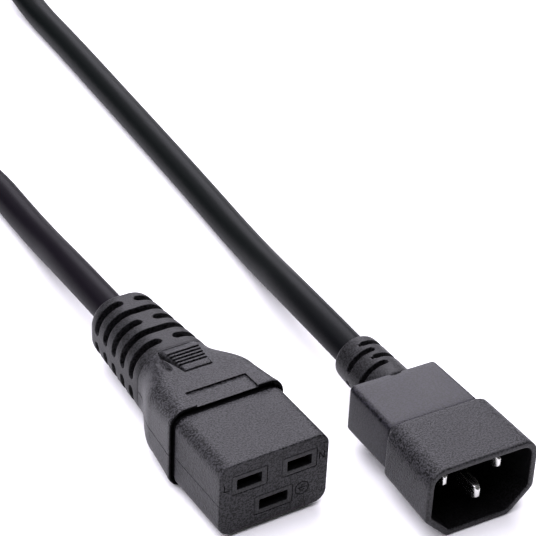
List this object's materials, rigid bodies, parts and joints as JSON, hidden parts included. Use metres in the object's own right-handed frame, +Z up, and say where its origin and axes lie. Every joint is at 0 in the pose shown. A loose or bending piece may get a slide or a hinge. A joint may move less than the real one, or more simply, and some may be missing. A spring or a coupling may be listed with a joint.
{
  "type": "c19 power connector",
  "caption": "Moulded C19 mains connector with its cable and the C14 plug at the far end; the spare cable is coiled and tied.",
  "frame": {"origin": "middle of the C19 connector's footprint, on the surface it lies on", "axes": "+Z up, the C19 connector's mating face looks along -Y and its cable leaves along +Y"},
  "size_m": [0.1022, 0.4063, 0.0218],
  "materials": {
    "moulded_pvc": "fine spark-eroded grain, matt dark grey",
    "inner_moulding": "smooth matt dark grey",
    "cable_jacket": "smooth satin black PVC",
    "pin_nickel": "bright nickel plate",
    "contact_brass": "bare sheet",
    "copper": "stranded copper",
    "insulation_line": "brown",
    "insulation_neutral": "light blue",
    "insulation_earth": "green and yellow",
    "tie_fabric": "black hook-and-loop"
  },
  "bodies": {
    "root": {"c19_overmould": "moulded_pvc", "c19_contact_carrier": "inner_moulding", "c19_contact_line": "contact_brass", "c19_contact_neutral": "contact_brass", "c19_contact_earth": "contact_brass", "c19_insulation_line": "insulation_line", "c19_insulation_neutral": "insulation_neutral", "c19_insulation_earth": "insulation_earth", "c19_conductor_line": "copper", "c19_conductor_neutral": "copper", "c19_conductor_earth": "copper", "c14_overmould": "moulded_pvc", "c14_pin_carrier": "inner_moulding", "c14_pin_line": "pin_nickel", "c14_pin_neutral": "pin_nickel", "c14_pin_earth": "pin_nickel", "c14_insulation_line": "insulation_line", "c14_insulation_neutral": "insulation_neutral", "c14_insulation_earth": "insulation_earth", "c14_conductor_line": "copper", "c14_conductor_neutral": "copper", "c14_conductor_earth": "copper", "cable_from_c19": "cable_jacket", "cable_to_c14": "cable_jacket", "cable_coil": "cable_jacket", "coil_tie": "tie_fabric"}
  },
  "joints": []
}
